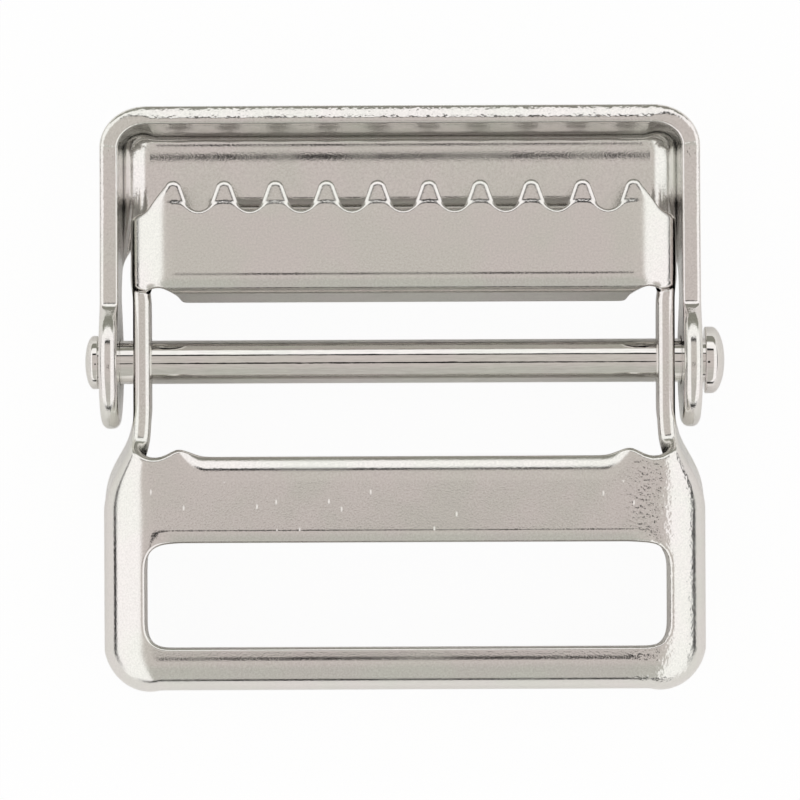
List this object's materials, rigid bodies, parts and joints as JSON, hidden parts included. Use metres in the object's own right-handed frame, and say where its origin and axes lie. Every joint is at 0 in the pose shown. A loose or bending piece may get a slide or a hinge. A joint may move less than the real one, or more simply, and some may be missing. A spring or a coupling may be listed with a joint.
{
  "type": "toothed clamp buckle slider",
  "caption": "Flat pressed-metal buckle slider: a slotted frame with a toothed clamp edge, and a shallow cover pan that swings on a riveted cross pin to grip webbing.",
  "frame": {"origin": "on the table under the middle of the buckle's box as it lies face up, cover side by side with the frame", "axes": "+X along the pivot pin towards its large head, +Y towards the cover's closed end, +Z out of the face that shows"},
  "size_m": [0.0384, 0.0352, 0.008],
  "materials": {
    "frame_nickel": "satin-bright nickel plate on pressed steel",
    "cover_nickel": "satin-bright nickel plate on pressed steel",
    "pin_nickel": "bright nickel plate on drawn wire, grained along its length"
  },
  "bodies": {
    "frame": {"toothed_frame": "frame_nickel"},
    "cover": {"cover": "cover_nickel"},
    "pin": {"pivot_pin": "pin_nickel"}
  },
  "joints": [
    {"name": "cover_swing", "type": "hinge", "parent": "frame", "child": "cover", "pos_m": [-0.00005, 0.00229, 0.00401], "axis": [-1, 0, 0], "range_deg": [-16, 105]},
    {"name": "pin_spin", "type": "hinge", "parent": "cover", "child": "pin", "pos_m": [-0.00005, 0.00229, 0.00401], "axis": [1, 0, 0], "continuous": true}
  ]
}
